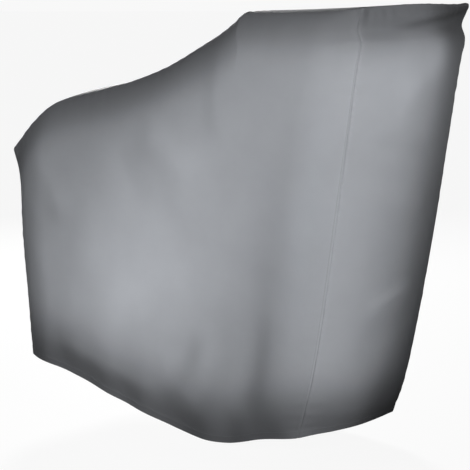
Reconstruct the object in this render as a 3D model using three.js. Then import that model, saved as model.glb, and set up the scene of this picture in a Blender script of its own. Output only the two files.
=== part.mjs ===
import * as THREE from "three";

// A fitted cover for an exercise bike, as it hangs: two side panels, joined by a gusset of four panels
// that runs from the front hem over the top and down the back. It is hollow and open at the bottom.
// Millimetres, +Z up, +X towards the tall front end, -Y towards the right side. The tables below
// measure from the floor and from the middle of the cover; the origin is set at the end.

// Cloth
const CLOTH = 1.6; // thickness of a panel
const HEM = 3.2; // thickness where the cloth is turned up twice
const HEM_DEPTH = 24; // how far the turned hem reaches up
const SEAM_INSET = 0.26; // each panel stops this far short of its seam
const MITRE_LIMIT = 1.6; // the most that a mitred edge is lengthened

// What the cover hangs from, under the middle of its top: the origin
const HANG_POINT = { x: 480, z: 1160 };

// How the side panels stand out between their seams
const SHOULDER = { seam: 140, slope: 165, top: 120 }; // distance over which they round off
const SHOULDER_POWER = 2.4; // how much of the rounding is done close to an upright seam
const TOP_BEGINS = 0.78; // where along the upper edge the slope ends and the level top begins
const TOP_BLEND = { from: 0.72, to: 0.84 }; // where one rounding gives way to the other

// Grid of each panel
const ROWS_UP = 24;
const COLUMNS_SLOPE = 20;
const COLUMNS_TOP = 6;
const COLUMNS_ACROSS = 8;
const EDGE_CROWDING = 0.55; // how much closer the lines of the grid stand near the seams

// Where the seams end: at the tail over the low end, at the brow where the slope meets the level
// top, and at the nose over the tall end
const TAIL = { x: -512, z: 768, half: 238, midX: -519, midZ: 775, square: 3 };
const BROW = { x: 307, z: 1151, half: 236, midX: 304, midZ: 1157, square: 3 };
const NOSE = { x: 656, z: 1170, half: 236, midX: 664, midZ: 1173, square: 3 };

// A gusset, a row for each section across it: the share of the way along, the seam, half the width
// between the two seams, the middle line, and how squarely the cloth turns over to the seam.
const SECTION = ["at", "x", "z", "half", "midX", "midZ", "square"];
const BACK = [
  ...table(SECTION, [
    [0.0, -467, 187, 226, -480, 182, 3],
    [0.27, -477, 342, 232, -498, 341, 3.5],
    [0.52, -486, 484, 236, -510, 484, 4],
    [0.82, -491, 655, 238, -510, 656, 4],
    [0.93, -499, 718, 238, -515, 720, 3.5],
  ]),
  { at: 1, ...TAIL },
];
const SLOPE = [
  { at: 0, ...TAIL },
  ...table(SECTION, [
    [0.05, -462, 824, 234, -470, 837, 2.6],
    [0.12, -395, 883, 228, -405, 903, 2.4],
    [0.18, -335, 913, 222, -343, 936, 2.2],
    [0.3, -200, 944, 218, -206, 962, 2.2],
    [0.42, -75, 973, 220, -79, 982, 2.4],
    [0.53, 50, 1014, 224, 48, 1016, 2.6],
    [0.64, 165, 1068, 229, 164, 1065, 2.6],
    [0.73, 250, 1112, 233, 250, 1112, 3],
  ]),
  { at: TOP_BEGINS, ...BROW },
];
const TOP = [
  { at: TOP_BEGINS, ...BROW },
  ...table(SECTION, [[0.89, 480, 1156, 237, 481, 1163, 3]]),
  { at: 1, ...NOSE },
];
const FRONT = [
  ...table(SECTION, [
    [0.0, 462, 74, 222, 492, 84, 3],
    [0.07, 485, 150, 228, 531, 147, 3.2],
    [0.22, 520, 300, 232, 579, 298, 2.8],
    [0.46, 566, 565, 235, 630, 563, 2.7],
    [0.7, 609, 835, 236, 672, 832, 2.7],
    [0.87, 640, 1020, 237, 690, 1018, 2.9],
    [0.935, 654, 1085, 236, 689, 1084, 3],
    [0.965, 646, 1120, 236, 674, 1120, 3.2],
  ]),
  { at: 1, ...NOSE },
];

// The hem of a side panel, a row for each dip and rise from the back to the front
const HEM_LINE = table(["at", "x", "z", "half"], [
  [0.0, -467, 187, 226],
  [0.16, -333, 166, 228],
  [0.3, -200, 134, 230],
  [0.48, -19, 87, 231],
  [0.64, 145, 54, 232],
  [0.76, 255, 50, 232],
  [0.88, 360, 68, 228],
  [1.0, 462, 74, 222],
]);

// How far a side panel stands out from its seams, by the share of the way up
const PUFF = table(["at", "out"], [
  [0.0, 18],
  [0.12, 44],
  [0.35, 56],
  [0.65, 58],
  [0.88, 52],
  [1.0, 44],
]);

// Where the cloth is pulled out of true: the place, how far the pull reaches, and its shift
const PULLS = table(["x", "y", "z", "reach", "dx", "dy", "dz"], [
  [462, -222, 74, 150, 0, 0, 18],
  [650, -236, 1170, 150, -6, 0, -7],
  [660, 236, 1168, 40, 6, 4, -1],
  [-512, -238, 768, 40, -3, 0, 2],
  [-512, 238, 768, 60, 4, -4, -5],
  [-200, 225, 134, 160, 0, -8, 12],
  [60, -290, 780, 190, 0, -7, 0],
  [-330, -285, 420, 170, 0, 6, 0],
  [330, -288, 420, 200, 0, 7, 0],
  [-60, 290, 560, 240, 0, -9, 0],
  [300, 290, 800, 170, 0, 7, 0],
]);

// Folds, each a ridge or a trough along a bow through three places: its rise over the cloth, the
// width of its flank, and the way that it faces, in degrees from +X towards +Y
const FOLDS = table(
  ["x1", "y1", "z1", "x2", "y2", "z2", "x3", "y3", "z3", "rise", "flank", "facing"],
  [
    [652, 222, 1156, 684, 20, 1112, 660, -215, 1100, -8, 26, 0],
    [655, 200, 1168, 680, -20, 1138, 655, -225, 1130, 5, 24, 0],
    [640, -270, 1098, 560, -285, 1100, 420, -290, 1112, -5, 26, -75],
    [575, -150, 392, 605, 0, 436, 585, 170, 476, 6, 26, 0],
    [570, -110, 330, 590, 40, 352, 560, 200, 420, -5, 34, 0],
    [640, -200, 828, 674, -20, 822, 640, 190, 776, -5, 24, 0],
    [612, -210, 714, 655, -30, 690, 620, 180, 678, 5, 26, 0],
    [-20, -290, 870, 90, -292, 790, 190, -292, 700, 6, 52, -90],
    [-120, -290, 800, -40, -290, 730, 10, -290, 640, -4, 46, -90],
    [-430, -270, 800, -330, -285, 690, -290, -285, 560, 5, 40, -90],
    [280, -270, 1090, 250, -288, 960, 300, -290, 820, 5, 42, -90],
    [-350, -280, 250, -150, -288, 200, 60, -285, 150, 5, 34, -90],
    [80, -285, 110, 180, -290, 230, 230, -290, 380, 5, 40, -90],
    [300, -285, 120, 360, -290, 260, 370, -290, 420, -5, 42, -90],
    [-420, 270, 790, -250, 288, 640, -180, 288, 450, 8, 46, 90],
    [290, 270, 1090, 180, 290, 930, 40, 290, 800, 7, 44, 90],
    [560, 285, 1080, 470, 290, 880, 420, 290, 660, 7, 44, 90],
    [-200, 285, 160, -120, 290, 320, -60, 290, 480, -7, 44, 90],
    [250, 285, 90, 230, 290, 260, 260, 290, 430, 7, 46, 90],
    [-510, -150, 700, -512, 0, 600, -506, 40, 420, 7, 36, 180],
    [-512, 190, 740, -512, 90, 560, -500, 60, 330, -7, 38, 180],
  ],
);

// A fold stays on its own side of the cover: it fades in between these shares of its distance out.
const FOLD_SIDE = { from: 0.5, full: 0.8 };
const FOLD_STEPS = 12; // straight stretches that stand for the bow of a fold

// A table as a list of rows with named columns
function table(columns, rows) {
  return rows.map((row) => Object.fromEntries(columns.map((name, i) => [name, row[i]])));
}

const clamp01 = (t) => Math.min(1, Math.max(0, t));
const mix = (a, b, t) => a + (b - a) * t;
const smooth = (t) => clamp01(t) ** 2 * (3 - 2 * clamp01(t));

// A smooth curve through one column of a table
function along(rows, column, at) {
  const last = rows.length - 1;
  const k = Math.min(last - 1, Math.max(0, rows.findIndex((row) => row.at > at) - 1));
  const i = at >= rows[last].at ? last - 1 : k;
  const rise = (a, b) => (rows[b][column] - rows[a][column]) / (rows[b].at - rows[a].at);
  const slope = (n) => (n === 0 || n === last ? rise(i, i + 1) : rise(n - 1, n + 1));
  const span = rows[i + 1].at - rows[i].at;
  const s = (at - rows[i].at) / span;
  return (
    (2 * s ** 3 - 3 * s ** 2 + 1) * rows[i][column] +
    (s ** 3 - 2 * s ** 2 + s) * span * slope(i) +
    (-2 * s ** 3 + 3 * s ** 2) * rows[i + 1][column] +
    (s ** 3 - s ** 2) * span * slope(i + 1)
  );
}

// The upper edge of a side panel runs along the slope and then along the top.
function upperEdge(column, u) {
  return along(u < TOP_BEGINS ? SLOPE : TOP, column, u);
}

// A side panel is spread between its four edges, and stands out between its three seams.
function sidePoint(side, u, v) {
  const spread = (column) => {
    const corners = [HEM_LINE[0], HEM_LINE[HEM_LINE.length - 1], TAIL, NOSE].map((c) => c[column]);
    return (
      mix(along(HEM_LINE, column, u), upperEdge(column, u), v) +
      mix(along(BACK, column, v), along(FRONT, column, v), u) -
      mix(mix(corners[0], corners[1], u), mix(corners[2], corners[3], u), v)
    );
  };
  const x = spread("x");
  const z = spread("z");
  const shoulder = (distance, reach) => Math.sqrt(1 - (1 - clamp01(distance / reach)) ** 2);
  const soft = (distance, reach) => 1 - (1 - clamp01(distance / reach)) ** SHOULDER_POWER;
  const onTop = smooth((u - TOP_BLEND.from) / (TOP_BLEND.to - TOP_BLEND.from));
  const topReach = mix(SHOULDER.slope, SHOULDER.top, onTop);
  const out =
    along(PUFF, "out", v) *
    soft(x - along(BACK, "x", v), SHOULDER.seam) *
    soft(along(FRONT, "x", v) - x, SHOULDER.seam) *
    shoulder(upperEdge("z", u) - z, topReach);
  return new THREE.Vector3(x, side * (spread("half") + out), z);
}

// A gusset panel is spread between its two seams, over its middle line.
function gussetPoint(rows, at, w) {
  const toSeam = Math.abs(w) ** along(rows, "square", at);
  const x = mix(along(rows, "midX", at), along(rows, "x", at), toSeam);
  const z = mix(along(rows, "midZ", at), along(rows, "z", at), toSeam);
  return new THREE.Vector3(x, w * along(rows, "half", at), z);
}

// Pulls and folds shift a point by its place alone, so that panels stay together at their seams.
function pulled(point) {
  for (const pull of PULLS) {
    const away = point.distanceTo(new THREE.Vector3(pull.x, pull.y, pull.z)) / pull.reach;
    point.addScaledVector(new THREE.Vector3(pull.dx, pull.dy, pull.dz), Math.exp(-(away ** 2)));
  }
  return point;
}

// How far a point is from a fold, seen along the way that the fold faces
function distanceToFold(point, fold, facing) {
  const flat = (v) => v.addScaledVector(facing, -v.dot(facing));
  const onFold = (t) => {
    const bow = (a, b, c) => mix(mix(a, 2 * b - (a + c) / 2, t), mix(2 * b - (a + c) / 2, c, t), t);
    return flat(
      new THREE.Vector3(
        bow(fold.x1, fold.x2, fold.x3),
        bow(fold.y1, fold.y2, fold.y3),
        bow(fold.z1, fold.z2, fold.z3),
      ),
    );
  };
  const here = flat(point.clone());
  let nearest = Infinity;
  for (let i = 0; i < FOLD_STEPS; i += 1) {
    const stretch = new THREE.Line3(onFold(i / FOLD_STEPS), onFold((i + 1) / FOLD_STEPS));
    const closest = stretch.closestPointToPoint(here, true, new THREE.Vector3());
    nearest = Math.min(nearest, closest.distanceTo(here));
  }
  return nearest;
}

function folded(point) {
  const start = point.clone();
  for (const fold of FOLDS) {
    const angle = THREE.MathUtils.degToRad(fold.facing);
    const facing = new THREE.Vector3(Math.cos(angle), Math.sin(angle), 0);
    const middle = new THREE.Vector3(fold.x2, fold.y2, fold.z2);
    const share = start.dot(facing) / middle.dot(facing);
    const faces = smooth((share - FOLD_SIDE.from) / (FOLD_SIDE.full - FOLD_SIDE.from));
    const away = distanceToFold(start, fold, facing) / fold.flank;
    point.addScaledVector(facing, fold.rise * faces * Math.exp(-(away ** 2)));
  }
  return point;
}

const hang = (point) => folded(pulled(point));

// Grid lines from 0 to 1, closer together near both ends
function crowded(count) {
  return Array.from({ length: count + 1 }, (_, i) => {
    const t = i / count;
    return mix(t, (1 - Math.cos(Math.PI * t)) / 2, EDGE_CROWDING);
  });
}

const hemLine = HEM_DEPTH / (NOSE.z - FRONT[0].z);
const linesUp = [0, ...crowded(ROWS_UP - 1).map((t) => mix(hemLine, 1, t))];
const linesSlope = crowded(COLUMNS_SLOPE).map((t) => t * TOP_BEGINS);
const linesTop = crowded(COLUMNS_TOP).map((t) => mix(TOP_BEGINS, 1, t));
const linesAcross = crowded(COLUMNS_ACROSS).map((t) => mix(-1, 1, t));

// A panel: its outer face as a grid of points, whose first index runs along a and second along b.
// sewn says which of its edges are seams; hemmed, which line of the grid is its hem.
function panel(name, linesA, linesB, place, options) {
  const grid = linesA.map((a) => linesB.map((b) => hang(place(a, b))));
  return { name, grid, ...options };
}

const uLines = [...linesSlope, ...linesTop.slice(1)];
const SEWN_ABOVE_HEM = { aFirst: true, aLast: true, bFirst: false, bLast: true };
const SEWN_ACROSS = { aFirst: false, aLast: true, bFirst: true, bLast: true };
const SEWN_ALL = { aFirst: true, aLast: true, bFirst: true, bLast: true };
const panels = [
  panel("right_side_panel", uLines, linesUp, (u, v) => sidePoint(-1, u, v), {
    sewn: SEWN_ABOVE_HEM,
    hem: "b",
    turned: false,
  }),
  panel("left_side_panel", uLines, linesUp, (u, v) => sidePoint(1, u, v), {
    sewn: SEWN_ABOVE_HEM,
    hem: "b",
    turned: true,
  }),
  panel("front_panel", linesUp, linesAcross, (a, w) => gussetPoint(FRONT, a, w), {
    sewn: SEWN_ACROSS,
    hem: "a",
    turned: true,
  }),
  panel("top_panel", linesTop, linesAcross, (a, w) => gussetPoint(TOP, a, w), {
    sewn: SEWN_ALL,
    hem: "",
    turned: false,
  }),
  panel("slope_panel", linesSlope, linesAcross, (a, w) => gussetPoint(SLOPE, a, w), {
    sewn: SEWN_ALL,
    hem: "",
    turned: false,
  }),
  panel("back_panel", linesUp, linesAcross, (a, w) => gussetPoint(BACK, a, w), {
    sewn: SEWN_ACROSS,
    hem: "a",
    turned: false,
  }),
];

// The two triangles of each square of a grid, as pairs of indices, facing outwards
function triangles(grid, turned) {
  const list = [];
  for (let i = 0; i < grid.length - 1; i += 1) {
    for (let j = 0; j < grid[0].length - 1; j += 1) {
      const square = [
        [i, j],
        [i + 1, j],
        [i + 1, j + 1],
        [i, j + 1],
      ];
      if (turned) square.reverse();
      list.push([square[0], square[1], square[2]], [square[0], square[2], square[3]]);
    }
  }
  return list;
}

// Seam points are shared: what is summed there takes in every panel that meets at the point.
const SAME_PLACE = 0.01; // points closer together than this are one
const key = (point) => point.toArray().map((n) => Math.round(n / SAME_PLACE)).join();

function outwardNormals() {
  const faces = new Map();
  for (const { grid, turned } of panels) {
    for (const corners of triangles(grid, turned)) {
      const [a, b, c] = corners.map(([i, j]) => grid[i][j]);
      const normal = b.clone().sub(a).cross(c.clone().sub(a)).normalize();
      for (const point of [a, b, c]) {
        const here = key(point);
        faces.set(here, [...(faces.get(here) ?? []), normal]);
      }
    }
  }
  const normals = new Map();
  for (const [here, around] of faces) {
    const mean = around.reduce((sum, n) => sum.add(n), new THREE.Vector3()).normalize();
    const least = Math.min(...around.map((n) => n.dot(mean)));
    normals.set(here, mean.multiplyScalar(Math.min(MITRE_LIMIT, 1 / least)));
  }
  return normals;
}

const normals = outwardNormals();

// The closed solid of a panel: its outer face, its inner face a thickness below, and its edges
function solid({ grid, sewn, hem, turned }) {
  const countA = grid.length;
  const countB = grid[0].length;
  const positions = [];
  const inset = (i, j) => {
    const shift = new THREE.Vector3();
    const towards = (ni, nj) => {
      const step = grid[ni][nj].clone().sub(grid[i][j]).normalize();
      shift.addScaledVector(step, SEAM_INSET);
    };
    if (sewn.aFirst && i === 0) towards(1, j);
    if (sewn.aLast && i === countA - 1) towards(countA - 2, j);
    if (sewn.bFirst && j === 0) towards(i, 1);
    if (sewn.bLast && j === countB - 1) towards(i, countB - 2);
    return shift;
  };
  for (const depth of [0, 1]) {
    for (let i = 0; i < countA; i += 1) {
      for (let j = 0; j < countB; j += 1) {
        const onHem = (hem === "a" && i <= 1) || (hem === "b" && j <= 1);
        const thickness = onHem ? HEM : CLOTH;
        const point = grid[i][j].clone().add(inset(i, j));
        point.addScaledVector(normals.get(key(grid[i][j])), -depth * thickness);
        positions.push(...point.toArray());
      }
    }
  }
  const index = (depth, [i, j]) => depth * countA * countB + i * countB + j;
  const faces = [];
  for (const corners of triangles(grid, turned)) {
    faces.push(...corners.map((corner) => index(0, corner)));
    faces.push(...corners.map((corner) => index(1, corner)).reverse());
  }
  const rim = [];
  for (let i = 0; i < countA - 1; i += 1) rim.push([i, 0]);
  for (let j = 0; j < countB - 1; j += 1) rim.push([countA - 1, j]);
  for (let i = countA - 1; i > 0; i -= 1) rim.push([i, countB - 1]);
  for (let j = countB - 1; j > 0; j -= 1) rim.push([0, j]);
  if (turned) rim.reverse();
  rim.forEach((here, n) => {
    const next = rim[(n + 1) % rim.length];
    const [outerHere, innerHere] = [index(0, here), index(1, here)];
    const [outerNext, innerNext] = [index(0, next), index(1, next)];
    // The edge of the neighbouring panel is split along the same diagonal.
    if (key(grid[here[0]][here[1]]) < key(grid[next[0]][next[1]])) {
      faces.push(outerHere, innerHere, innerNext, outerHere, innerNext, outerNext);
    } else {
      faces.push(outerHere, innerHere, outerNext, innerHere, innerNext, outerNext);
    }
  });
  const geometry = new THREE.BufferGeometry();
  geometry.setAttribute("position", new THREE.Float32BufferAttribute(positions, 3));
  geometry.setIndex(faces);
  geometry.computeVertexNormals();
  return geometry;
}

// Plain woven cloth, satin grey
const greyCloth = () =>
  new THREE.MeshStandardMaterial({ color: 0x8d9096, roughness: 0.72, metalness: 0 });

const cover = new THREE.Group();
for (const each of panels) {
  const mesh = new THREE.Mesh(solid(each), greyCloth());
  mesh.name = each.name;
  cover.add(mesh);
}
cover.position.set(-HANG_POINT.x, 0, -HANG_POINT.z);

export default cover;
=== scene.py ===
"""Looks of the exercise bike cover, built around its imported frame.

The cover is sewn from six panels of satin grey cloth. Each panel is a fine sheet that hangs as its
solid does, with the smaller folds, seams, hem and stitches added. Tables are in millimetres, measured
from the floor and from the middle of the cover, as the solids are; meshes are in metres.
"""

import math

import bpy
import numpy as np
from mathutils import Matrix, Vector, noise


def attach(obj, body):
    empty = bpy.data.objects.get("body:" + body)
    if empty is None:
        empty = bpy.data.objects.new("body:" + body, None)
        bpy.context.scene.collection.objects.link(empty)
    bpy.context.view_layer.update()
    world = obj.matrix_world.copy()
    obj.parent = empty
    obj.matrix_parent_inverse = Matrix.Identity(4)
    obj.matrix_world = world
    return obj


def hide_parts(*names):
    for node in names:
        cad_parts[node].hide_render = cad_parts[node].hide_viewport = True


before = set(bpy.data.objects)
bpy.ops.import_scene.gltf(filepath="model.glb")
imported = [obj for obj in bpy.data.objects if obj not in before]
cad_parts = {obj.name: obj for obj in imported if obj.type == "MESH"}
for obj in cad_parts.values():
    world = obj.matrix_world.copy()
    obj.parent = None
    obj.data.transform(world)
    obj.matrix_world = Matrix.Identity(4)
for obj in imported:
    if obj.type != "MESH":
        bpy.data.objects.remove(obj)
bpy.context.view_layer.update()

bl_info = {
    "name": "Exercise Bike Cover",
    "version": (1, 0, 0),
    "blender": (4, 5, 0),
    "location": "View3D > Sidebar > Bike Cover",
    "description": "Makes a fitted cloth cover with its folds, seams, hem and stitches",
    "category": "Object",
}

MM = 0.001


def table(columns, rows):
    """A table as a list of rows with named columns."""
    return [dict(zip(columns, row)) for row in rows]


# What the cover hangs from, under the middle of its top: the origin
HANG_POINT = np.array([480.0, 0.0, 1160.0])

# How the side panels stand out between their seams: the distances over which they round off, how
# steeply they rise from an upright seam, where along the upper edge the slope ends, and the share of
# that edge over which one rounding gives way to the other
SHOULDER_SEAM = 140
SHOULDER_SLOPE = 165
SHOULDER_TOP = 120
SHOULDER_POWER = 2.4
TOP_BEGINS = 0.78
TOP_BLEND = 0.12

# Lines of the fine grid of each panel, and how much closer they stand near the seams
LINES_UP = 176
LINES_SLOPE = 160
LINES_TOP = 48
LINES_ACROSS = 72
EDGE_CROWDING = 0.75

# The four edges of a grid: the axis that runs across each, and whether it is at the far end of it
EDGES = {"first": (0, False), "last": (0, True), "left": (1, False), "right": (1, True)}

# Points of two panels are one point of a seam if they agree to so many digits
SEAM_DIGITS = 2

# A fold is a bow of straight stretches. It fades out over a share of its length at each end, and fades
# in between two shares of its distance out, so that it stays on its own side of the cover.
FOLD_STEPS = 12
FOLD_END = 0.3
FOLD_FROM = 0.5
FOLD_FULL = 0.8

# How softly the right and the left side panel turn into the front: how wide each turn is blurred, how
# many lines of the grid take part, how far the turn reaches and over what width it ends
NEAR_TURN = 18.0
FAR_TURN = 6.0
TURN_LINES = 36
TURN_REACH = 45.0
TURN_FADE = 50.0

# How far a panel stops short of its seam, how wide the groove of a seam and the wear beside it are on
# each side, the share of its width at which a seam's band has ended, and over what height the turned
# hem ends
SEAM_INSET = 0.02
GROOVE_REACH = 2.2
WEAR_REACH = 9.0
BAND_END = 1.5
HEM_STEP = 5.0

# Uneven waves: the size of each, its lengths along and across, its start, and how far and over what
# length it wanders
WAVE = ["size", "along", "across", "start", "wander", "wander_length"]

# Puckers along a seam, how they swell and sink on the way, and how soon they fade into the panel
PUCKERS = table(WAVE, [
    [1.0, 5.3, math.inf, 0.0, 0.9, 61.0],
    [0.7, 8.9, math.inf, 1.1, 1.3, 83.0],
    [0.5, 13.7, math.inf, 2.3, 0.0, 1.0],
])
PUCKER_SWELL = table(WAVE, [[0.35, 47.0, math.inf, 0.6, 0.0, 1.0]])
PUCKER_MEAN = 0.65
PUCKER_FADE = 1.6

# The sway of the hem, how far up it reaches, and half the length and width of the cover that it goes
# round
SWAY = table(WAVE, [
    [1.0, 31.0, 52.0, 0.0, 0.8, 97.0],
    [0.8, 57.0, -35.0, 1.7, 0.0, 1.0],
    [0.5, 19.0, 27.0, 0.4, 0.0, 1.0],
])
SWAY_REACH = 95.0
HALF_LENGTH = 600.0
HALF_WIDTH = 260.0

# Soft hollows and swellings: the size of the broad and the close ones, how far the close ones are
# shifted, and their share
BROAD_HOLLOWS = 140.0
CLOSE_HOLLOWS = 48.0
CLOSE_SHIFT = 7.0
CLOSE_SHARE = 0.35

# Stitches: how far a row lies from its seam and from the hem's edge, how far before a seam the hem's
# row ends, how flat a stitch is, how far it stands out as a share of the thread, and how many corners
# and rings it is drawn with
SEAM_STITCH = 5.0
HEM_STITCH = 20.0
HEM_STITCH_END = 2.0
STITCH_FLATNESS = 0.7
STITCH_LIFT = 0.2
STITCH_CORNERS = 6
STITCH_RINGS = 4

# Painted shade, a rim of shade round the cover painted into the cloth's colour: how much darker the
# colour is made along each kind of edge, over what width, and how sharply that ends; the share of
# its width that the front's has at the top, and the heights between which it narrows; the edges that
# are left out; and how much darker the colour is made in a small crease, as painted crease shade
EDGE_SHADES = {
    "hem": (0.60, 145.0, 3),
    "rear": (0.08, 60.0, 3),
    "front": (0.56, 243.0, 5),
    "upper": (0.57, 106.0, 3),
    "lid": (0.57, 50.0, 2),
}
FRONT_NARROWING = 0.77
FRONT_NARROWS = (780.0, 1060.0)
EVEN_EDGES = [("right_side", "last"), ("front", "left")]
CREASE_SHADE = 0.35

# Finish of the cloth. A pattern has its spots to the metre, its detail and its harshness, and a bump
# its strength and its depth in metres. A part that is used is the lowest and highest value taken from
# a pattern, and its tones or gloss are what those two give.
PATTERNS = {
    "slub": (420.0, 2.0, 0.5),
    "crush": (30.0, 5.0, 0.6),
    "mottle": (6.5, 4.0, 0.55),
    "chafe": (160.0, 3.0, 0.5),
}
YARN_BUMP = (0.35, 0.0003)
CRUSH_BUMP = (0.4, 0.0012)
SLUB_SHARE = 0.6
GRAIN_USED = (0.0, 1.6)
GRAIN_TONES = (0.92, 1.04)
MOTTLE_USED = (0.3, 0.7)
MOTTLE_TONES = (0.95, 1.05)
MOTTLE_GLOSS = (0.58, 0.70)
CHAFE_USED = (0.35, 0.7)
WEAR_TONE = 0.10
WEAR_GLOSS = 0.12
CLOTH_SPECULAR = 0.3
CLOTH_SHEEN = 0.08
SHEEN_ROUGHNESS = 0.5

# Finish of the thread, in the same way
TWIST = (1400.0, 1.0, 0.5)
TWIST_BUMP = (0.4, 0.0002)
TWIST_TONES = (0.8, 1.15)
THREAD_ROUGHNESS = 0.85
THREAD_SPECULAR = 0.2

# Where the seams end: at the tail over the low end, at the brow where the slope meets the level
# top, and at the nose over the tall end
CORNER = ["x", "z", "half", "mid_x", "mid_z", "square"]
TAIL, BROW, NOSE = table(CORNER, [
    [-512, 768, 238, -519, 775, 3],
    [307, 1151, 236, 304, 1157, 3],
    [656, 1170, 236, 664, 1173, 3],
])

# A gusset, a row for each section across it: the share of the way along, the seam, half the width
# between the two seams, the middle line, and how squarely the cloth turns over to the seam
SECTION = ["at", *CORNER]
BACK = table(SECTION, [
    [0.0, -467, 187, 226, -480, 182, 3],
    [0.27, -477, 342, 232, -498, 341, 3.5],
    [0.52, -486, 484, 236, -510, 484, 4],
    [0.82, -491, 655, 238, -510, 656, 4],
    [0.93, -499, 718, 238, -515, 720, 3.5],
]) + [{"at": 1, **TAIL}]
SLOPE = [{"at": 0, **TAIL}] + table(SECTION, [
    [0.05, -462, 824, 234, -470, 837, 2.6],
    [0.12, -395, 883, 228, -405, 903, 2.4],
    [0.18, -335, 913, 222, -343, 936, 2.2],
    [0.3, -200, 944, 218, -206, 962, 2.2],
    [0.42, -75, 973, 220, -79, 982, 2.4],
    [0.53, 50, 1014, 224, 48, 1016, 2.6],
    [0.64, 165, 1068, 229, 164, 1065, 2.6],
    [0.73, 250, 1112, 233, 250, 1112, 3],
]) + [{"at": TOP_BEGINS, **BROW}]
TOP = [{"at": TOP_BEGINS, **BROW}] + table(SECTION, [
    [0.89, 480, 1156, 237, 481, 1163, 3],
]) + [{"at": 1, **NOSE}]
FRONT = table(SECTION, [
    [0.0, 462, 74, 222, 492, 84, 3],
    [0.07, 485, 150, 228, 531, 147, 3.2],
    [0.22, 520, 300, 232, 579, 298, 2.8],
    [0.46, 566, 565, 235, 630, 563, 2.7],
    [0.7, 609, 835, 236, 672, 832, 2.7],
    [0.87, 640, 1020, 237, 690, 1018, 2.9],
    [0.935, 654, 1085, 236, 689, 1084, 3],
    [0.965, 646, 1120, 236, 674, 1120, 3.2],
]) + [{"at": 1, **NOSE}]

# The hem of a side panel, a row for each dip and rise from the back to the front
HEM_LINE = table(["at", "x", "z", "half"], [
    [0.0, -467, 187, 226],
    [0.16, -333, 166, 228],
    [0.3, -200, 134, 230],
    [0.48, -19, 87, 231],
    [0.64, 145, 54, 232],
    [0.76, 255, 50, 232],
    [0.88, 360, 68, 228],
    [1.0, 462, 74, 222],
])

# How far a side panel stands out from its seams, by the share of the way up
PUFF = table(["at", "out"], [
    [0.0, 18],
    [0.12, 44],
    [0.35, 56],
    [0.65, 58],
    [0.88, 52],
    [1.0, 44],
])

# Where the cloth is pulled out of true: the place, how far the pull reaches, and its shift
PULLS = table(["x", "y", "z", "reach", "dx", "dy", "dz"], [
    [462, -222, 74, 150, 0, 0, 18],
    [650, -236, 1170, 150, -6, 0, -7],
    [660, 236, 1166, 28, 9, 5, 5],
    [668, 241, 1174, 11, -6, -1, -4],
    [-512, -238, 768, 40, -3, 0, 2],
    [-512, 238, 768, 60, 4, -4, -5],
    [-200, 225, 134, 160, 0, -8, 12],
    [60, -290, 780, 190, 0, -7, 0],
    [-330, -285, 420, 170, 0, 6, 0],
    [330, -288, 420, 200, 0, 7, 0],
    [-60, 290, 560, 240, 0, -9, 0],
    [300, 290, 800, 170, 0, 7, 0],
])

# Folds, each a ridge or a trough along a bow through three places: its rise over the cloth, the
# width of its flank, and the way that it faces, in degrees from +X towards +Y
FOLD = ["x1", "y1", "z1", "x2", "y2", "z2", "x3", "y3", "z3", "rise", "flank", "facing"]
FOLDS = table(FOLD, [
    [650, 300, 1126, 684, 30, 1114, 660, -290, 1102, -7, 22, 0],
    [655, 270, 1164, 680, 0, 1148, 655, -290, 1140, 5, 20, 0],
    [640, -270, 1098, 560, -285, 1100, 420, -290, 1112, -5, 26, -75],
    [575, -170, 380, 605, -30, 436, 600, 70, 476, 6, 26, 0],
    [570, -130, 330, 590, 0, 362, 585, 90, 410, -5, 34, 0],
    [640, -200, 828, 674, -60, 822, 665, 80, 800, -5, 26, 0],
    [612, -210, 714, 655, -70, 690, 648, 70, 684, 5, 28, 0],
    [-20, -290, 870, 90, -292, 790, 190, -292, 700, 6, 52, -90],
    [-120, -290, 800, -40, -290, 730, 10, -290, 640, -4, 46, -90],
    [-430, -270, 800, -330, -285, 690, -290, -285, 560, 5, 40, -90],
    [280, -270, 1090, 250, -288, 960, 300, -290, 820, 5, 42, -90],
    [-350, -280, 250, -150, -288, 200, 60, -285, 150, 5, 34, -90],
    [80, -285, 110, 180, -290, 230, 230, -290, 380, 5, 40, -90],
    [300, -285, 120, 360, -290, 260, 370, -290, 420, -5, 42, -90],
    [-420, 270, 790, -250, 288, 640, -180, 288, 450, 8, 46, 90],
    [290, 270, 1090, 180, 290, 930, 40, 290, 800, 7, 44, 90],
    [560, 285, 1080, 470, 290, 880, 420, 290, 660, 7, 44, 90],
    [-200, 285, 160, -120, 290, 320, -60, 290, 480, -7, 44, 90],
    [250, 285, 90, 230, 290, 260, 260, 290, 430, 7, 46, 90],
    [-510, -150, 700, -512, 0, 600, -506, 40, 420, 7, 36, 180],
    [-512, 190, 740, -512, 90, 560, -500, 60, 330, -7, 38, 180],
])

# Smaller creases, which the solids leave out, in the same columns
CREASES = table(FOLD, [
    [650, 330, 1172, 680, 90, 1136, 680, -150, 1112, -5, 9, 0],
    [665, -150, 900, 690, 10, 1000, 684, 140, 1130, 8, 46, 0],
    [595, -150, 412, 610, -60, 440, 612, 40, 462, 3, 12, 0],
    [610, -120, 500, 622, -30, 514, 626, 40, 532, 2.5, 14, 0],
])


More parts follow.
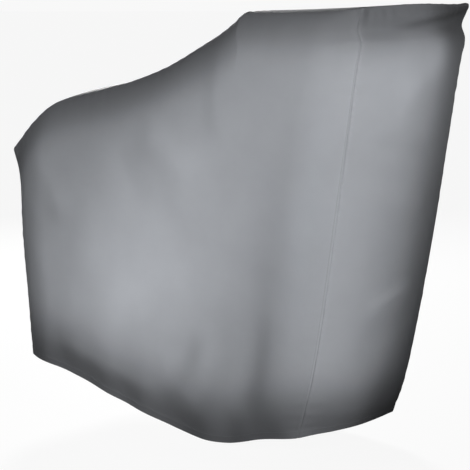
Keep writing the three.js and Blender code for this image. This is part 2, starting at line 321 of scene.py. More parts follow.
class CoverSizes(bpy.types.PropertyGroup):
    """Sizes of the cloth, its seams and its stitches."""

    cloth: bpy.props.FloatProperty(
        name="Cloth", description="Thickness of the cloth", default=0.0012, unit="LENGTH")
    hem_depth: bpy.props.FloatProperty(
        name="Hem depth", description="How far the turned hem reaches up", default=0.024, unit="LENGTH")
    hem_rise: bpy.props.FloatProperty(
        name="Hem rise", description="How far the turned hem stands proud", default=0.0006, unit="LENGTH")
    hem: bpy.props.FloatProperty(
        name="Hem", description="Thickness of the turned hem", default=0.003, unit="LENGTH")
    seam_band: bpy.props.FloatProperty(
        name="Seam band", description="Width of the seam allowance under the cloth", default=0.009,
        unit="LENGTH")
    seam_rise: bpy.props.FloatProperty(
        name="Seam rise", description="How far a seam stands proud", default=0.0005, unit="LENGTH")
    seam_groove: bpy.props.FloatProperty(
        name="Seam groove", description="Depth of the line where two panels meet", default=0.0004,
        unit="LENGTH")
    pucker: bpy.props.FloatProperty(
        name="Pucker", description="Height of the puckers along a seam", default=0.0010, unit="LENGTH")
    pucker_reach: bpy.props.FloatProperty(
        name="Pucker reach", description="How far the puckers run into a panel", default=0.022,
        unit="LENGTH")
    sway: bpy.props.FloatProperty(
        name="Hem sway", description="How far the hem waves in and out", default=0.005, unit="LENGTH")
    crumple: bpy.props.FloatProperty(
        name="Crumple", description="Height of the soft unevenness of the cloth", default=0.0016,
        unit="LENGTH")
    stitch: bpy.props.FloatProperty(
        name="Stitch", description="Length of one stitch", default=0.0036, unit="LENGTH")
    stitch_pitch: bpy.props.FloatProperty(
        name="Stitch pitch", description="From one stitch to the next", default=0.0048, unit="LENGTH")
    thread: bpy.props.FloatProperty(
        name="Thread", description="Thickness of the thread", default=0.0009, unit="LENGTH")
    thread_pitch: bpy.props.FloatProperty(
        name="Weave pitch", description="From one yarn of the weave to the next", default=0.0011,
        unit="LENGTH")


class CoverColours(bpy.types.PropertyGroup):
    """Colours of the cloth, its thread and the stage."""

    cloth: bpy.props.FloatVectorProperty(
        name="Cloth", description="Colour of the cloth", default=(0.270, 0.280, 0.300), size=3,
        subtype="COLOR", min=0, max=1)
    thread: bpy.props.FloatVectorProperty(
        name="Thread", description="Colour of the sewing thread", default=(0.160, 0.165, 0.175), size=3,
        subtype="COLOR", min=0, max=1)
    floor: bpy.props.FloatVectorProperty(
        name="Floor", description="Colour of the floor", default=(0.05, 0.05, 0.05), size=3,
        subtype="COLOR", min=0, max=1)


def smooth(t):
    """An eased step from 0 to 1."""
    t = np.clip(t, 0, 1)
    return t * t * (3 - 2 * t)


def mix(a, b, t):
    """The value a share t of the way from a to b."""
    return a + (b - a) * t


def along(rows, column, at):
    """A smooth curve through one column of a table."""
    knots = np.array([row["at"] for row in rows], float)
    values = np.array([row[column] for row in rows], float)
    chords = np.diff(values) / np.diff(knots)
    inner = (values[2:] - values[:-2]) / (knots[2:] - knots[:-2])
    leaving = np.concatenate([chords[:1], inner])
    arriving = np.concatenate([inner, chords[-1:]])
    i = np.clip(np.searchsorted(knots, at, side="right") - 1, 0, len(chords) - 1)
    span = knots[i + 1] - knots[i]
    s = (at - knots[i]) / span
    return (
        (2 * s**3 - 3 * s**2 + 1) * values[i]
        + (s**3 - 2 * s**2 + s) * span * leaving[i]
        + (-2 * s**3 + 3 * s**2) * values[i + 1]
        + (s**3 - s**2) * span * arriving[i]
    )


def upper_edge(column, u):
    """The upper edge of a side panel, along the slope and then along the top."""
    return np.where(u < TOP_BEGINS, along(SLOPE, column, u), along(TOP, column, u))


def side_grid(side, u, v):
    """A side panel, spread between its four edges, and standing out between its three seams."""
    u, v = np.broadcast_arrays(u[:, None], v[None, :])

    def spread(column):
        low_back, low_front = HEM_LINE[0][column], HEM_LINE[-1][column]
        corners = mix(mix(low_back, low_front, u), mix(TAIL[column], NOSE[column], u), v)
        up = mix(along(HEM_LINE, column, u), upper_edge(column, u), v)
        across = mix(along(BACK, column, v), along(FRONT, column, v), u)
        return up + across - corners

    def shoulder(distance, reach):
        return np.sqrt(1 - (1 - np.clip(distance / reach, 0, 1)) ** 2)

    def soft(distance, reach):
        return 1 - (1 - np.clip(distance / reach, 0, 1)) ** SHOULDER_POWER

    x = spread("x")
    z = spread("z")
    top_reach = mix(SHOULDER_SLOPE, SHOULDER_TOP, smooth((u - TOP_BEGINS) / TOP_BLEND + 0.5))
    out = (
        along(PUFF, "out", v)
        * soft(x - along(BACK, "x", v), SHOULDER_SEAM)
        * soft(along(FRONT, "x", v) - x, SHOULDER_SEAM)
        * shoulder(upper_edge("z", u) - z, top_reach)
    )
    return np.stack([x, side * (spread("half") + out), z], axis=-1)


def gusset_grid(rows, at, across):
    """A gusset panel, spread between its two seams over its middle line."""
    at, across = np.broadcast_arrays(at[:, None], across[None, :])
    to_seam = np.abs(across) ** along(rows, "square", at)
    x = mix(along(rows, "mid_x", at), along(rows, "x", at), to_seam)
    z = mix(along(rows, "mid_z", at), along(rows, "z", at), to_seam)
    return np.stack([x, across * along(rows, "half", at), z], axis=-1)


def pulled(points):
    """The points with the pulls of the cloth; a pull goes by place, so seams stay together."""
    for pull in PULLS:
        place = np.array([pull["x"], pull["y"], pull["z"]], float)
        shift = np.array([pull["dx"], pull["dy"], pull["dz"]], float)
        away = np.linalg.norm(points - place, axis=-1) / pull["reach"]
        points = points + np.exp(-(away**2))[..., None] * shift
    return points


def place_by_fold(points, fold, facing):
    """How far each point is from a fold, and along it, seen along the way that the fold faces."""
    ends = np.array([[fold[axis + n] for axis in "xyz"] for n in "123"], float)
    handle = 2 * ends[1] - (ends[0] + ends[2]) / 2
    t = np.linspace(0, 1, FOLD_STEPS + 1)[:, None]
    line = mix(mix(ends[0], handle, t), mix(handle, ends[2], t), t)

    def flat(p):
        return p - (p @ facing)[..., None] * facing

    line, points = flat(line), flat(points)
    nearest = np.full(points.shape[:-1], np.inf)
    run = np.zeros(points.shape[:-1])
    for n, (start, end) in enumerate(zip(line[:-1], line[1:])):
        step = end - start
        share = np.clip((points - start) @ step / (step @ step), 0, 1)
        gap = np.linalg.norm(points - start - share[..., None] * step, axis=-1)
        run = np.where(gap < nearest, (n + share) / FOLD_STEPS, run)
        nearest = np.minimum(nearest, gap)
    return nearest, run


def fold_shape(points, fold):
    """The share of a fold's rise at each point, on the fold's side of the cover, and its way out."""
    angle = math.radians(fold["facing"])
    facing = np.array([math.cos(angle), math.sin(angle), 0.0])
    middle = np.array([fold["x2"], fold["y2"], fold["z2"]], float)
    share = (points @ facing) / (middle @ facing)
    faces = smooth((share - FOLD_FROM) / (FOLD_FULL - FOLD_FROM))
    away, run = place_by_fold(points, fold, facing)
    fading = smooth(run / FOLD_END) * smooth((1 - run) / FOLD_END)
    return faces * fading * np.exp(-((away / fold["flank"]) ** 2)), facing


def folded(points, folds):
    """The points with the folds of a table."""
    shifted = points.copy()
    for fold in folds:
        share, facing = fold_shape(points, fold)
        shifted += (fold["rise"] * share)[..., None] * facing
    return shifted


def painted_shade_of(sheet):
    """The painted shade: how much darker the cloth's colour is made towards its hem and outer edges, and
    in its small creases.
    """
    grid = sheet["grid"]
    light = np.ones(grid.shape[:2])
    for edge, kind in sheet["edges"].items():
        depth, reach, sharpness = EDGE_SHADES[kind]
        if kind == "front":
            start, end = FRONT_NARROWS
            reach = reach * mix(1, FRONT_NARROWING, smooth((grid[..., 2] - start) / (end - start)))
        if (sheet["name"], edge) not in EVEN_EDGES:
            light *= 1 - depth * np.exp(-((from_edge(grid, edge) / reach) ** sharpness))
    # painted shade in the small creases, where shade falls
    for crease in CREASES:
        if crease["rise"] < 0:
            light *= 1 - CREASE_SHADE * fold_shape(grid, crease)[0]
    return 1 - light


def crowded(count):
    """Grid lines from 0 to 1, closer together near both ends."""
    t = np.linspace(0, 1, count + 1)
    return mix(t, (1 - np.cos(math.pi * t)) / 2, EDGE_CROWDING)


def arc(grid, axis):
    """How far each point of a grid is along the cloth, from the grid's first line on an axis."""
    steps = np.linalg.norm(np.diff(grid, axis=axis), axis=-1)
    start = np.zeros_like(np.take(steps, [0], axis=axis))
    return np.concatenate([start, np.cumsum(steps, axis=axis)], axis=axis)


def grid_normals(grid, turned):
    """The outward normal at each point of a grid."""
    normal = np.cross(np.gradient(grid, axis=0), np.gradient(grid, axis=1))
    normal /= np.linalg.norm(normal, axis=-1, keepdims=True)
    return -normal if turned else normal


def shared_normals(sheets):
    """Normals of all the sheets, the same on both sides of each seam."""
    found = [grid_normals(sheet["grid"], sheet["turned"]) for sheet in sheets]
    rims = []
    for n, sheet in enumerate(sheets):
        rows, columns = sheet["grid"].shape[:2]
        for i in range(rows):
            step = 1 if i in (0, rows - 1) else columns - 1
            rims += [(n, i, j) for j in range(0, columns, step)]
    meeting = {}
    for n, i, j in rims:
        place = tuple(np.round(sheets[n]["grid"][i, j], SEAM_DIGITS))
        meeting.setdefault(place, []).append((n, i, j))
    for group in meeting.values():
        total = sum(found[n][i, j] for n, i, j in group)
        total /= np.linalg.norm(total)
        for n, i, j in group:
            found[n][i, j] = total
    return found


def from_edge(grid, edge):
    """How far each point of a grid is from one of its edges, along the cloth."""
    axis, far = EDGES[edge]
    along_cloth = arc(grid, axis)
    return np.take(along_cloth, [-1], axis=axis) - along_cloth if far else along_cloth


def rounded_turn(side, front, blur):
    """Rounds the turn from a side panel's last line into a front panel's first column."""
    line = np.concatenate([side[-TURN_LINES:], np.swapaxes(front, 0, 1)[1:TURN_LINES]])
    run = arc(line, 0) - arc(line, 0)[TURN_LINES - 1]
    width = np.gradient(run, axis=0)
    near = np.exp(-(((run[:, None] - run[None]) / blur) ** 2) / 2) * width[None]
    blurred = np.einsum("abj,bjk->ajk", near / near.sum(axis=1, keepdims=True), line)
    height = arc(line, 1)
    below_corner = smooth((height[:, -1:] - height) / TURN_FADE)
    share = smooth((TURN_REACH + TURN_FADE - np.abs(run)) / TURN_FADE) * below_corner
    line = mix(line, blurred, share[..., None])
    side[-TURN_LINES:] = line[:TURN_LINES]
    front[:, :TURN_LINES] = np.swapaxes(line[TURN_LINES - 1:], 0, 1)


def waves(rows, along_cloth, across_cloth=0.0):
    """The sum of the uneven waves of a table."""
    return sum(
        wave["size"] * np.sin(
            along_cloth / wave["along"] + across_cloth / wave["across"] + wave["start"]
            + wave["wander"] * np.sin(along_cloth / wave["wander_length"]))
        for wave in rows
    )


def unevenness(points):
    """Soft hollows and swellings of the cloth, of about 1 at the most either way."""
    flat = points.reshape(-1, 3)
    broad = [noise.noise(Vector(p)) for p in flat / BROAD_HOLLOWS]
    close = [noise.noise(Vector(p)) for p in flat / CLOSE_HOLLOWS + CLOSE_SHIFT]
    return (np.array(broad) + CLOSE_SHARE * np.array(close)).reshape(points.shape[:-1])


def hung_sheets(sizes):
    """Every panel as a grid of points over its outer face, in millimetres, with what is sewn."""
    up = crowded(LINES_UP)
    slope = crowded(LINES_SLOPE) * TOP_BEGINS
    top = mix(TOP_BEGINS, 1, crowded(LINES_TOP))
    across = mix(-1, 1, crowded(LINES_ACROSS))
    long = np.concatenate([slope, top[1:]])
    side = {"first": "rear", "last": "front", "left": "hem", "right": "upper"}
    tall_end = {"first": "hem", "last": "upper", "left": "front", "right": "front"}
    low_end = {"first": "hem", "last": "upper", "left": "rear", "right": "rear"}
    lid = {edge: "lid" for edge in EDGES}
    sheets = [
        {"name": "right_side", "grid": side_grid(-1, long, up), "turned": False, "edges": side},
        {"name": "left_side", "grid": side_grid(1, long, up), "turned": True, "edges": side},
        {"name": "front", "grid": gusset_grid(FRONT, up, across), "turned": True, "edges": tall_end},
        {"name": "top", "grid": gusset_grid(TOP, top, across), "turned": False, "edges": lid},
        {"name": "slope", "grid": gusset_grid(SLOPE, slope, across), "turned": False, "edges": lid},
        {"name": "back", "grid": gusset_grid(BACK, up, across), "turned": False, "edges": low_end},
    ]
    for sheet in sheets:
        sheet["grid"] = folded(folded(pulled(sheet["grid"]), FOLDS), CREASES)
    for sheet in sheets:
        sheet["seams"] = [edge for edge, kind in sheet["edges"].items() if kind != "hem"]
        sheet["hem"] = next((edge for edge, kind in sheet["edges"].items() if kind == "hem"), None)
    right, left, front = (sheet["grid"] for sheet in sheets[:3])
    rounded_turn(right, front, NEAR_TURN)
    rounded_turn(left, front[:, ::-1], FAR_TURN)
    normals = shared_normals(sheets)
    for sheet, normal in zip(sheets, normals):
        sheet["grid"] = finely_shaped(sheet, normal, sizes)
    for sheet, normal in zip(sheets, shared_normals(sheets)):
        sheet["normals"] = normal
    return sheets


def finely_shaped(sheet, normal, sizes):
    """A sheet's grid with its unevenness, seam bands, puckers, hem band and the hem's sway."""
    grid = sheet["grid"]
    rise = unevenness(grid) * sizes.crumple / MM
    for edge in sheet["seams"]:
        axis = EDGES[edge][0]
        inward = from_edge(grid, edge)
        run = arc(grid, 1 - axis)
        band = smooth(BAND_END - inward / (sizes.seam_band / MM))
        rise = rise + band * sizes.seam_rise / MM
        rise = rise - np.exp(-((inward / GROOVE_REACH) ** 2)) * sizes.seam_groove / MM
        depth = inward / (sizes.pucker_reach / MM)
        pucker = waves(PUCKERS, run) * (PUCKER_MEAN + waves(PUCKER_SWELL, run))
        rise = rise + pucker * depth * np.exp(1 - depth * PUCKER_FADE) * sizes.pucker / MM
    shifted = grid + rise[..., None] * normal
    sheet["thickness"] = np.full(grid.shape[:2], sizes.cloth / MM)
    if sheet["hem"]:
        height = from_edge(grid, sheet["hem"])
        band = smooth((sizes.hem_depth / MM - height) / HEM_STEP + 0.5)
        shifted += (band * sizes.hem_rise / MM)[..., None] * normal
        sheet["thickness"] += band * (sizes.hem - sizes.cloth) / MM
        outward = grid * np.array([1 / HALF_LENGTH, 1 / HALF_WIDTH, 0.0])
        outward /= np.linalg.norm(outward, axis=-1, keepdims=True)
        sway = waves(SWAY, grid[..., 0], grid[..., 1]) * np.exp(-((height / SWAY_REACH) ** 2))
        shifted += (sway * sizes.sway / MM / 2)[..., None] * outward
    return shifted


def in_frame(points):
    """Points in metres in the shared frame, from millimetres over the floor."""
    return (points - HANG_POINT) * MM


def sheet_mesh(sheet):
    """A closed mesh of a sheet: its outer face, its inner face a thickness below, and its rim."""
    grid = sheet["grid"]
    rows, columns = grid.shape[:2]
    inset = np.zeros_like(grid)
    for edge in sheet["seams"]:
        axis, far = EDGES[edge]
        here = [slice(None), slice(None)]
        next_in = [slice(None), slice(None)]
        here[axis] = -1 if far else 0
        next_in[axis] = -2 if far else 1
        step = grid[tuple(next_in)] - grid[tuple(here)]
        inset[tuple(here)] += step / np.linalg.norm(step, axis=-1, keepdims=True) * SEAM_INSET
    outer = grid + inset
    inner = outer - sheet["normals"] * sheet["thickness"][..., None]
    points = in_frame(np.concatenate([outer.reshape(-1, 3), inner.reshape(-1, 3)]))
    number = np.arange(rows * columns).reshape(rows, columns)
    quads = np.stack(
        [number[:-1, :-1], number[1:, :-1], number[1:, 1:], number[:-1, 1:]], axis=-1
    ).reshape(-1, 4)
    if sheet["turned"]:
        quads = quads[:, ::-1]
    ring = np.concatenate([
        number[:-1, 0], number[-1, :-1], number[:0:-1, -1], number[0, :0:-1]
    ])
    if sheet["turned"]:
        ring = ring[::-1]
    beyond = np.roll(ring, -1)
    below = rows * columns
    rim = np.stack([ring, ring + below, beyond + below, beyond], axis=-1)
    faces = np.concatenate([quads, quads[:, ::-1] + below, rim])
    mesh = bpy.data.meshes.new(sheet["name"] + "_cloth")
    mesh.from_pydata(points.tolist(), [], faces.tolist())
    mesh.polygons.foreach_set("use_smooth", np.ones(len(faces), bool))
    near = [np.exp(-((from_edge(grid, edge) / WEAR_REACH) ** 2)) for edge in sheet["edges"]]
    worn = np.max(near, axis=0)
    # worn is real wear at the seams; the second attribute is painted shade, darker colour along the edges
    # and in creases
    for name, values in (("worn", worn), ("painted_shade", painted_shade_of(sheet))):
        layer = mesh.attributes.new(name, "FLOAT", "POINT")
        layer.data.foreach_set("value", np.tile(values.ravel(), 2))
    lay_weave(mesh, sheet)
    mesh.validate()
    return mesh


def unrolled(grid, axis, left_out=None, from_middle=None):
    """How far each point lies along one way of the cloth, with one direction left out."""
    flat = grid.copy()
    if left_out is not None:
        flat[..., left_out] = 0
    run = arc(flat, axis)
    middle = [grid.shape[axis] // 2]
    run = run - np.take(run, middle, axis=axis)
    if from_middle is not None:
        run = run + np.take(grid[..., from_middle], middle, axis=axis)
    return run


def lay_weave(mesh, sheet):
    """A UV map in metres of cloth; in a side panel the yarns keep level and upright."""
    grid = sheet["grid"] * MM
    if "side" in sheet["name"]:
        level = unrolled(grid, 0, left_out=2, from_middle=0)
        upright = unrolled(grid, 1, left_out=0, from_middle=2)
    else:
        level = unrolled(grid, 0)
        upright = unrolled(grid, 1)
    u, v = (np.tile(length.ravel(), 2) for length in (level, upright))
    loops = np.zeros(len(mesh.loops), int)
    mesh.loops.foreach_get("vertex_index", loops)
    layer = mesh.uv_layers.new(name="Cloth")
    layer.data.foreach_set("uv", np.stack([u[loops], v[loops]], axis=-1).ravel())


def beside_edge(sheet, edge, away, trim):
    """Places and normals on a line beside an edge of a sheet, shortened at both ends."""
    axis, far = EDGES[edge]
    order = -1 if far else 1
    grid = np.moveaxis(sheet["grid"], axis, 0)[::order]
    normals = np.moveaxis(sheet["normals"], axis, 0)[::order]
    run = arc(grid, 0)
    column = np.arange(run.shape[1])
    after = (run < away).sum(axis=0)
    share = ((away - run[after - 1, column]) / (run[after, column] - run[after - 1, column]))[:, None]
    places = mix(grid[after - 1, column], grid[after, column], share)
    normals = mix(normals[after - 1, column], normals[after, column], share)
    length = arc(places, 0)
    kept = (length > trim) & (length < length[-1] - trim)
    return places[kept], normals[kept]


def stitch_shape(sizes):
    """The corners and faces of one stitch, which lies along X with its outside up."""
    bpy.ops.object.select_all(action="DESELECT")
    bpy.ops.mesh.primitive_uv_sphere_add(
        segments=STITCH_CORNERS, ring_count=STITCH_RINGS, radius=0.5, rotation=(0, math.pi / 2, 0),
        scale=(sizes.thread * STITCH_FLATNESS, sizes.thread, sizes.stitch))
    bpy.ops.object.transform_apply(location=True, rotation=True, scale=True)
    pattern = bpy.context.object
    corners = np.zeros(len(pattern.data.vertices) * 3)
    pattern.data.vertices.foreach_get("co", corners)
    faces = [list(face.vertices) for face in pattern.data.polygons]
    bpy.ops.object.delete()
    return corners.reshape(-1, 3), faces


def sewn_row(places, normals, sizes):
    """The frame of each stitch along a line: its place, and its ways along, aside and out."""
    length = arc(places, 0)
    count = int(length[-1] / (sizes.stitch_pitch / MM))
    at = (np.arange(count) + 0.5) / count * length[-1]

    def along_row(values):
        return np.stack([np.interp(at, length, values[:, k]) for k in range(3)], axis=-1)

    ahead = along_row(np.gradient(places, length, axis=0))
    out = along_row(normals)
    ahead /= np.linalg.norm(ahead, axis=-1, keepdims=True)
    aside = np.cross(out, ahead)
    aside /= np.linalg.norm(aside, axis=-1, keepdims=True)
    return along_row(places), np.stack([ahead, aside, np.cross(ahead, aside)], axis=1)


def stitches(name, lines):
    """One piece of sewing thread, which shows as a row of stitches along each of the lines."""
    scene = bpy.context.scene
    sizes = scene.cover_sizes
    shape, faces = shared("stitch", lambda: stitch_shape(sizes))
    places, ways = zip(*(sewn_row(*line, sizes) for line in lines))
    places, ways = np.concatenate(places), np.concatenate(ways)
    places = in_frame(places) + ways[:, 2] * sizes.thread * STITCH_LIFT
    corners = places[:, None] + np.einsum("vk,nkj->nvj", shape, ways)
    polygons = [[v + n * len(shape) for v in face] for n in range(len(places)) for face in faces]
    mesh = bpy.data.meshes.new(name)
    mesh.from_pydata(corners.reshape(-1, 3).tolist(), [], polygons)
    mesh.polygons.foreach_set("use_smooth", np.ones(len(polygons), bool))
    material = shared("thread", lambda: thread_material(scene.cover_colours))
    shown(mesh, name, material)


class Shading:
    """A short way to lay out the nodes of one material."""

    def __init__(self, name):
        self.material = bpy.data.materials.new(name)
        self.material.use_nodes = True
        self.tree = self.material.node_tree
        self.shader = self.tree.nodes["Principled BSDF"]

    def add(self, kind, settings=None, **inputs):
        """A node of a kind, with its settings, and its inputs set or linked by name."""
        node = self.tree.nodes.new("ShaderNode" + kind)
        for key, value in (settings or {}).items():
            setattr(node, key, value)
        for key, value in inputs.items():
            self.put(node, key, value)
        return node

    def put(self, node, key, value):
        """Sets an input of a node, or links a socket to it; _1 names its first input, and so on."""
        socket = node.inputs[int(key[1:]) - 1 if key[0] == "_" else key.replace("_", " ")]
        if isinstance(value, bpy.types.NodeSocket):
            self.tree.links.new(value, socket)
        else:
            socket.default_value = value

    def math(self, operation, a, b=0.0):
        """The result of one sum."""
        return self.add("Math", {"operation": operation}, _1=a, _2=b).outputs[0]

    def between(self, value, used, given):
        """A value that goes between two given ones as another goes through its used part."""
        low, high = used
        at_low, at_high = given
        return self.add("MapRange", _1=value, _2=low, _3=high, _4=at_low, _5=at_high).outputs[0]

    def pattern(self, place, scale, detail, harshness):
        """A noise over the cloth."""
        found = self.add("TexNoise", Vector=place, Scale=scale, Detail=detail, Roughness=harshness)
        return found.outputs["Fac"]

    def bump(self, height, strength, depth, **under):
        """The normal of a bump, over the one that is under it."""
        return self.add("Bump", Strength=strength, Distance=depth, Height=height, **under).outputs[0]

    def tinted(self, colour, tone):
        """Links a colour, made lighter or darker by a tone, to the shader."""
        tint = self.add("HueSaturation", Value=tone)
        tint.inputs["Color"].default_value = (*colour, 1)
        self.put(self.shader, "Base_Color", tint.outputs[0])


def cloth_material(colours, sizes):
    """Satin grey cloth in plain weave, with slubs, soft mottling, crush marks, worn seam edges and
    painted shade.
    """
    shading = Shading("cover_cloth")
    uv = shading.add("UVMap", {"uv_map": "Cloth"}).outputs["UV"]
    place = shading.add("TexCoord").outputs["Object"]
    worn = shading.add("Attribute", {"attribute_name": "worn"}).outputs["Fac"]
    # the painted shade along the edges and in the creases
    painted_shade = shading.add("Attribute", {"attribute_name": "painted_shade"}).outputs["Fac"]
    split = shading.add("SeparateXYZ", _1=uv)
    turns = [shading.math("MULTIPLY", run, math.pi / sizes.thread_pitch) for run in split.outputs[:2]]
    warp, weft = (shading.math("ABSOLUTE", shading.math("SINE", turn)) for turn in turns)
    over = shading.add("TexChecker", Vector=uv, Scale=1 / sizes.thread_pitch).outputs["Fac"]
    weave = shading.between(over, (0, 1), (warp, weft))
    slub = shading.pattern(uv, *PATTERNS["slub"])
    crush = shading.pattern(place, *PATTERNS["crush"])
    mottle = shading.pattern(place, *PATTERNS["mottle"])
    chafe = shading.pattern(place, *PATTERNS["chafe"])
    wear = shading.math("MULTIPLY", worn, shading.between(chafe, CHAFE_USED, (0.0, 1.0)))

    grain = shading.math("ADD", weave, shading.math("MULTIPLY", slub, SLUB_SHARE))
    yarns = shading.bump(grain, *YARN_BUMP)
    shading.put(shading.shader, "Normal", shading.bump(crush, *CRUSH_BUMP, Normal=yarns))

    tone = shading.math(
        "MULTIPLY",
        shading.between(mottle, MOTTLE_USED, MOTTLE_TONES),
        shading.between(grain, GRAIN_USED, GRAIN_TONES),
    )
    tone = shading.math("ADD", tone, shading.math("MULTIPLY", wear, WEAR_TONE))
    # painted shade: the tone is darkened along the edges and in the creases, where shade falls
    tone = shading.math("MULTIPLY", tone, shading.math("SUBTRACT", 1.0, painted_shade))
    shading.tinted(colours.cloth, tone)

    matt = shading.between(mottle, MOTTLE_USED, MOTTLE_GLOSS)
    matt = shading.math("ADD", matt, shading.math("MULTIPLY", wear, WEAR_GLOSS))
    shading.put(shading.shader, "Roughness", matt)
    shading.shader.inputs["Specular IOR Level"].default_value = CLOTH_SPECULAR
    shading.shader.inputs["Sheen Weight"].default_value = CLOTH_SHEEN
    shading.shader.inputs["Sheen Roughness"].default_value = SHEEN_ROUGHNESS
    return shading.material


def thread_material(colours):
    """Matt sewing thread with its twist."""
    shading = Shading("sewing_thread")
    place = shading.add("TexCoord").outputs["Object"]
    twist = shading.pattern(place, *TWIST)
    shading.tinted(colours.thread, shading.between(twist, (0.0, 1.0), TWIST_TONES))
    shading.put(shading.shader, "Normal", shading.bump(twist, *TWIST_BUMP))
    shading.shader.inputs["Roughness"].default_value = THREAD_ROUGHNESS
    shading.shader.inputs["Specular IOR Level"].default_value = THREAD_SPECULAR
    return shading.material


def shown(mesh, name, material, nodes=()):
    """A piece of the cover in the scene, riding on its one body."""
    piece = bpy.data.objects.new(name, mesh)
    bpy.context.scene.collection.objects.link(piece)
    mesh.materials.append(material)
    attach(piece, "root")
    if nodes:
        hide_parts(*nodes)
    return piece


_made = {}


def shared(name, make):
    """What several operators use, made once."""
    if name not in _made:
        _made[name] = make()
    return _made[name]


def all_sheets():
    """Every sheet of the cover, by its name."""
    sizes = bpy.context.scene.cover_sizes
    return shared("sheets", lambda: {s["name"]: s for s in hung_sheets(sizes)})


def hang_panel(name):
    """One panel of cloth, which stands for its solid."""
    scene = bpy.context.scene
    sheet = all_sheets()[name]
    mesh = sheet_mesh(sheet)
    material = shared("cloth", lambda: cloth_material(scene.cover_colours, scene.cover_sizes))
    piece = shown(mesh, name + "_cloth", material, [name + "_panel"])
    grid = sheet["grid"] * MM
    spans = [float(arc(grid, axis).take(-1, axis=axis).max()) for axis in (0, 1)]


class COVER_OT_side_panels(bpy.types.Operator):
    """Hang the two side panels"""

    bl_idname = "cover.side_panels"
    bl_label = "Side Panels"

    def execute(self, context):
        hang_panel("right_side")
        hang_panel("left_side")
        return {"FINISHED"}


class COVER_OT_gusset(bpy.types.Operator):
    """Hang the four panels of the gusset"""

    bl_idname = "cover.gusset"
    bl_label = "Gusset"

    def execute(self, context):
        for name in ("top", "front", "slope", "back"):
            hang_panel(name)
        return {"FINISHED"}


class COVER_OT_seam_stitches(bpy.types.Operator):
    """Sew the rows of stitches beside the seams"""

    bl_idname = "cover.seam_stitches"
    bl_label = "Seam Stitches"

    def execute(self, context):
        sheets = all_sheets()
        for side in ("right", "left"):
            lines = [
                beside_edge(sheets[side + "_side"], edge, SEAM_STITCH, SEAM_STITCH)
                for edge in ("first", "last", "right")
            ]
            stitches(side + "_seam_stitches", lines)
        crossing = [(sheets[name], "last") for name in ("front", "slope", "back")]
        lines = [beside_edge(sheet, edge, SEAM_STITCH, SEAM_STITCH) for sheet, edge in crossing]
        stitches("gusset_seam_stitches", lines)
        return {"FINISHED"}


class COVER_OT_hem_stitches(bpy.types.Operator):
    """Sew the row of stitches that holds the turned hem"""

    bl_idname = "cover.hem_stitches"
    bl_label = "Hem Stitches"

    def execute(self, context):
        hemmed = [sheet for sheet in all_sheets().values() if sheet["hem"]]
        lines = [beside_edge(sheet, sheet["hem"], HEM_STITCH, HEM_STITCH_END) for sheet in hemmed]
        stitches("hem_stitches", lines)
        return {"FINISHED"}


# The camera as it stands to the cover: its turn in degrees, its place in metres, its focus, the width
# of the picture and the row of the horizon in pixels, and its sensor in millimetres
CAMERA_TURN = 38.0
CAMERA_DISTANCE = 4.36
CAMERA_ASIDE = 0.069
CAMERA_HEIGHT = 1.17
CAMERA_FOCUS = 1600.0
PICTURE = 470.0
HORIZON = 5.0
SENSOR = 36.0

# The floor and the world are white to the sight, and give the cover little light of their own
FLOOR_RADIUS = 300.0
FLOOR_CORNERS = 96
FLOOR_ROUGHNESS = 0.9
FLOOR_SEEN = 0.92
WORLD_SEEN = 0.94
WORLD_LIGHT = 0.03

# Soft spots that light the cover from the camera's side: the way that each stands, its rise, power
# in watts, the width and softness of its beam, and the place that it faces
SPOT_DISTANCE = 4.6
SPOT_SIZE = 0.4
SPOTS = table(["name", "turn", "rise", "power", "width", "softness", "x", "y", "z"], [
    ["high_side", 0.0, 20.0, 698, 10.4, 0.50, 472, -200, 982],
    ["middle", 20.0, 16.9, 1623, 10.5, 0.64, -57, -200, 439],
    ["low_side", 80.3, 2.4, 785, 13.2, 0.50, -357, -200, 215],
    ["tail", 0.0, 12.1, 1327, 9.9, 0.99, -572, -200, 1175],
    ["front", 58.0, -0.6, 1437, 10.5, 0.51, 900, -200, 1010],
])

# A soft light behind the cover: how far it is turned from the camera, and the rest in the same way
BACK_TURN = 187.0
BACK_RISE = 20.0
BACK_DISTANCE = 4.2
BACK_POWER = 90.0
BACK_SIZE = 0.8
BACK_FACES = (60.0, 0.0, 620.0)


def place_camera():
    """The camera at the angle, height and distance of the picture."""
    turn = math.radians(CAMERA_TURN)
    pitch = math.atan((PICTURE / 2 - HORIZON) / CAMERA_FOCUS)
    ahead = Vector((-math.sin(turn), math.cos(turn), 0))
    aside = Vector((math.cos(turn), math.sin(turn), 0))
    spot = -ahead * CAMERA_DISTANCE + aside * CAMERA_ASIDE + Vector((0, 0, CAMERA_HEIGHT))
    data = bpy.data.cameras.new("camera")
    data.sensor_width = SENSOR
    data.lens = CAMERA_FOCUS / PICTURE * SENSOR
    data.clip_end = 2 * FLOOR_RADIUS
    camera = bpy.data.objects.new("camera", data)
    bpy.context.scene.collection.objects.link(camera)
    camera.location = spot - Vector(HANG_POINT * MM)
    gaze = ahead * math.cos(pitch) - Vector((0, 0, math.sin(pitch)))
    camera.rotation_euler = gaze.to_track_quat("-Z", "Y").to_euler()
    bpy.context.scene.camera = camera


def aimed(name, kind, turn, rise, distance, power, target):
    """A light turned round the cover and raised, which faces a place in it."""
    data = bpy.data.lights.new(name, kind)
    data.energy = power
    light = bpy.data.objects.new(name, data)
    bpy.context.scene.collection.objects.link(light)
    turn, rise = math.radians(turn), math.radians(rise)
    out = Vector((math.sin(turn) * math.cos(rise), -math.cos(turn) * math.cos(rise), math.sin(rise)))
    light.location = Vector(in_frame(np.array(target))) + out * distance
    light.rotation_euler = (-out).to_track_quat("-Z", "Y").to_euler()
    return data


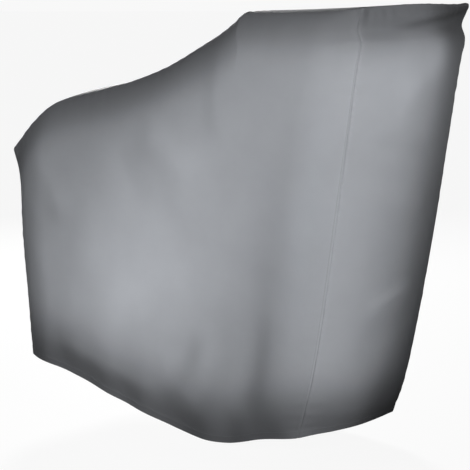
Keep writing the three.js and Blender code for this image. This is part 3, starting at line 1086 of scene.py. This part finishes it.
def lay_floor():
    """The floor under the cover, white to the sight."""
    bpy.ops.object.select_all(action="DESELECT")
    bpy.ops.mesh.primitive_circle_add(
        vertices=FLOOR_CORNERS, radius=FLOOR_RADIUS, fill_type="NGON", location=in_frame(np.zeros(3)))
    floor = bpy.context.object
    floor.name = "floor"
    shading = Shading("floor")
    colour = bpy.context.scene.cover_colours.floor
    shading.shader.inputs["Base Color"].default_value = (*colour, 1)
    shading.shader.inputs["Roughness"].default_value = FLOOR_ROUGHNESS
    shading.shader.inputs["Emission Color"].default_value = (1, 1, 1, 1)
    in_sight = shading.add("LightPath").outputs["Is Camera Ray"]
    glow = shading.between(in_sight, (0, 1), (0, FLOOR_SEEN))
    shading.put(shading.shader, "Emission_Strength", glow)
    floor.data.materials.append(shading.material)


def hang_backdrop():
    """The world round the cover, white to the sight."""
    world = bpy.data.worlds.new("studio")
    world.use_nodes = True
    tree = world.node_tree
    path = tree.nodes.new("ShaderNodeLightPath")
    strength = tree.nodes.new("ShaderNodeMapRange")
    strength.inputs["To Min"].default_value = WORLD_LIGHT
    strength.inputs["To Max"].default_value = WORLD_SEEN
    background = tree.nodes["Background"]
    background.inputs["Color"].default_value = (1, 1, 1, 1)
    tree.links.new(path.outputs["Is Camera Ray"], strength.inputs["Value"])
    tree.links.new(strength.outputs["Result"], background.inputs["Strength"])
    bpy.context.scene.world = world


def set_lights():
    """The soft spots and the light behind the cover."""
    for spot in SPOTS:
        target = [spot[axis] for axis in "xyz"]
        light = aimed(
            spot["name"], "SPOT", spot["turn"], spot["rise"], SPOT_DISTANCE, spot["power"], target)
        light.spot_size = math.radians(spot["width"])
        light.spot_blend = spot["softness"]
        light.shadow_soft_size = SPOT_SIZE
    back = aimed(
        "back", "AREA", CAMERA_TURN + BACK_TURN, BACK_RISE, BACK_DISTANCE, BACK_POWER, BACK_FACES)
    back.size = BACK_SIZE


class COVER_OT_stage(bpy.types.Operator):
    """Lay the floor, set the lights and place the camera"""

    bl_idname = "cover.stage"
    bl_label = "Stage"

    def execute(self, context):
        lay_floor()
        hang_backdrop()
        set_lights()
        place_camera()
        context.scene.view_settings.view_transform = "Standard"
        return {"FINISHED"}


class COVER_PT_panel(bpy.types.Panel):
    """The cover's sizes, colours and operators"""

    bl_idname = "COVER_PT_panel"
    bl_label = "Bike Cover"
    bl_space_type = "VIEW_3D"
    bl_region_type = "UI"
    bl_category = "Bike Cover"

    def draw(self, context):
        for group in (context.scene.cover_sizes, context.scene.cover_colours):
            for name in group.bl_rna.properties.keys():
                if name not in ("rna_type", "name"):
                    self.layout.prop(group, name)
        for operator in OPERATORS:
            self.layout.operator(operator.bl_idname)


OPERATORS = (
    COVER_OT_gusset, COVER_OT_side_panels, COVER_OT_seam_stitches, COVER_OT_hem_stitches, COVER_OT_stage,
)
CLASSES = (CoverSizes, CoverColours, *OPERATORS, COVER_PT_panel)


def register():
    """Adds the cover's sizes, colours, operators and panel."""
    for cls in CLASSES:
        bpy.utils.register_class(cls)
    bpy.types.Scene.cover_sizes = bpy.props.PointerProperty(type=CoverSizes)
    bpy.types.Scene.cover_colours = bpy.props.PointerProperty(type=CoverColours)


def unregister():
    """Takes them away again, the last first."""
    del bpy.types.Scene.cover_colours
    del bpy.types.Scene.cover_sizes
    for cls in reversed(CLASSES):
        bpy.utils.unregister_class(cls)


def main():
    """Makes the cover and its stage."""
    register()
    bpy.ops.cover.gusset()
    bpy.ops.cover.side_panels()
    bpy.ops.cover.seam_stitches()
    bpy.ops.cover.hem_stitches()
    bpy.ops.cover.stage()


if __name__ == "__main__":
    main()
